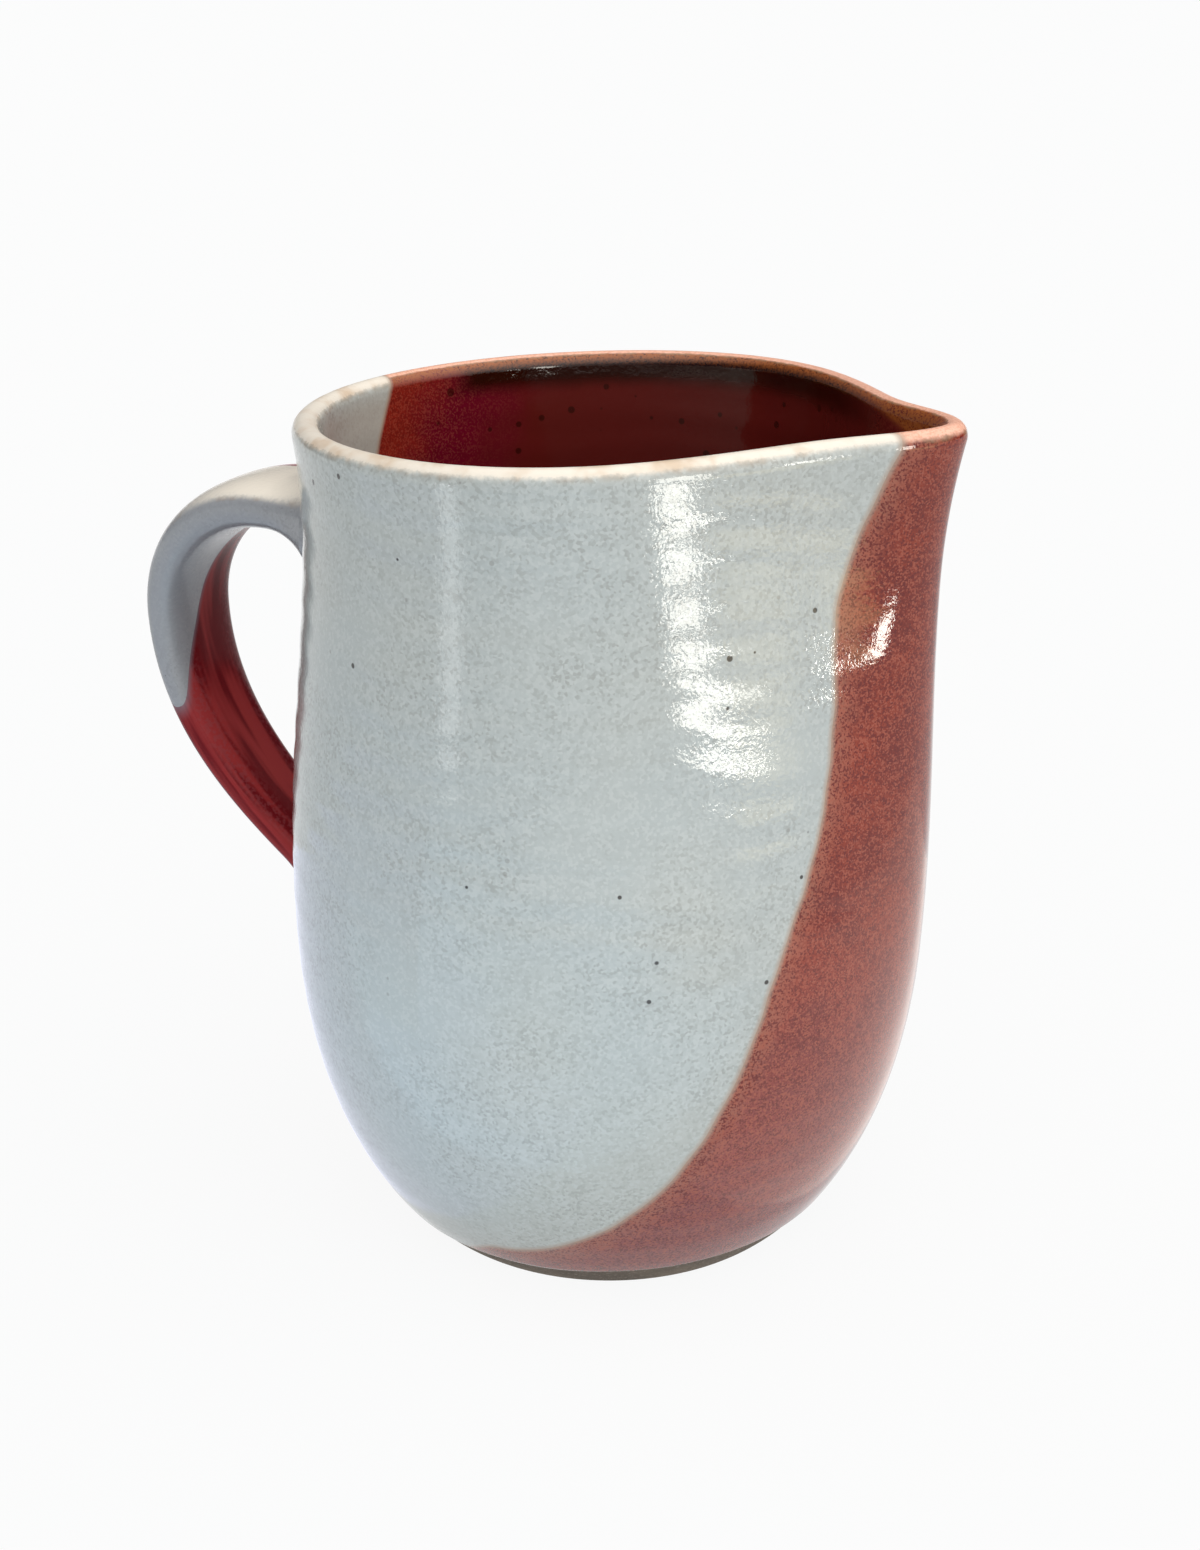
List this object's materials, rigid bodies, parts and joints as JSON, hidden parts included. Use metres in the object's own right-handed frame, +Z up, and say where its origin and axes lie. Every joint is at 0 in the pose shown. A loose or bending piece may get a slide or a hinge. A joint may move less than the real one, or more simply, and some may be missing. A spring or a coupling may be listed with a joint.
{
  "type": "pottery pitcher",
  "caption": "Hand-thrown stoneware pitcher with a full belly, pulled spout, pulled strap handle and a slanting two-tone dipped glaze, for pouring drinks.",
  "frame": {"origin": "centre of the flat foot, on the surface that the pitcher stands on", "axes": "+Z up, +X towards the spout, handle at -X, white glaze mostly at -Y"},
  "size_m": [0.1853, 0.1364, 0.1804],
  "materials": {
    "clay": "unglazed fired stoneware",
    "slip": "fired slip",
    "white_glaze": "glossy speckled white glaze",
    "red_glaze": "glossy mottled red glaze"
  },
  "bodies": {
    "root": {"body": "clay", "handle": "clay", "upper_slip": "slip", "lower_slip": "slip", "white_glaze_body": "white_glaze", "red_glaze_body": "red_glaze", "white_glaze_handle": "white_glaze", "red_glaze_handle": "red_glaze"}
  },
  "joints": []
}
